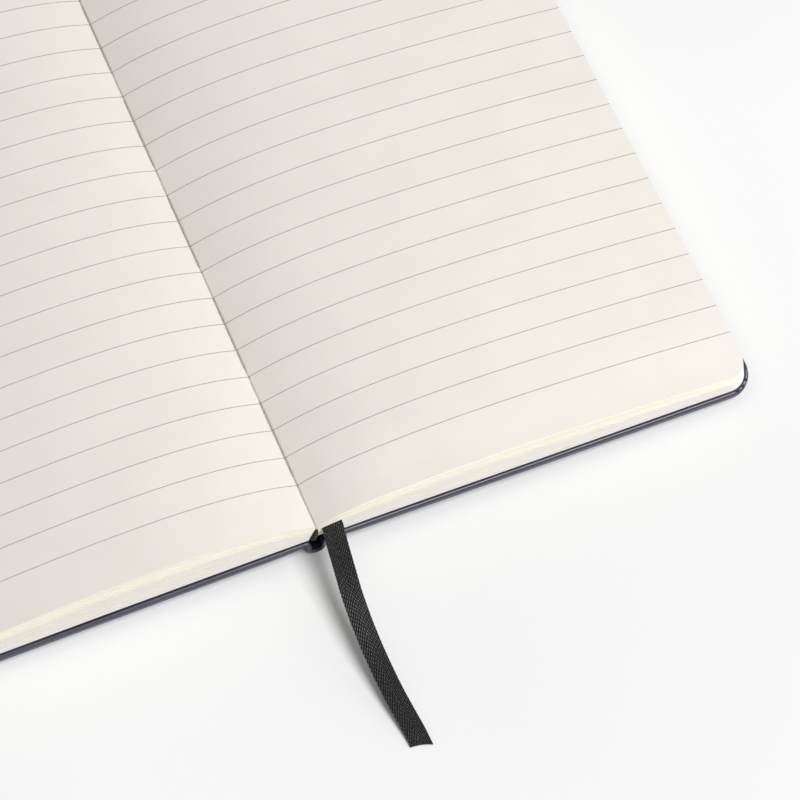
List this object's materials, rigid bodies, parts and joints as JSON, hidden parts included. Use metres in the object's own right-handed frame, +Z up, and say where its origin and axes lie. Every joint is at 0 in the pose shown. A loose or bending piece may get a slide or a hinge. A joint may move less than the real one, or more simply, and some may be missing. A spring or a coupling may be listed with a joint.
{
  "type": "open hardcover notebook",
  "caption": "Pocket hardcover ruled notebook lying open, with hinged leatherette covers, a looped spine and a woven ribbon marker.",
  "frame": {"origin": "on the table under the fold, halfway between the head and the tail of the covers", "axes": "+X across the spread towards the back cover, +Y along the fold towards the head, +Z up out of the open pages"},
  "size_m": [0.1822, 0.1856, 0.0148],
  "materials": {
    "ruled_paper": "uncoated cream paper",
    "endpaper": "uncoated cream paper",
    "leatherette": "satin, fine grain",
    "board": "raw greyboard",
    "card": "black card",
    "lining_cloth": "black book cloth",
    "band_cloth": "woven cotton",
    "ribbon": "twill woven polyester",
    "thread": "waxed linen thread"
  },
  "bodies": {
    "root": {"text_block": "ruled_paper", "back_lining": "lining_cloth", "head_band": "band_cloth", "tail_band": "band_cloth", "sewing_thread": "thread", "spine_leatherette": "leatherette", "spine_inlay": "card", "ribbon_marker": "ribbon"},
    "front_cover": {"front_leatherette": "leatherette", "front_board": "board", "front_pastedown": "endpaper"},
    "back_cover": {"back_leatherette": "leatherette", "back_board": "board", "back_pastedown": "endpaper"}
  },
  "joints": [
    {"name": "front_cover_hinge", "type": "hinge", "parent": "root", "child": "front_cover", "pos_m": [-0.002, 0, 0.00325], "axis": [0, -1, 0], "range_deg": [0, 85]},
    {"name": "back_cover_hinge", "type": "hinge", "parent": "root", "child": "back_cover", "pos_m": [0.002, 0, 0.00325], "axis": [0, 1, 0], "range_deg": [0, 85]}
  ]
}
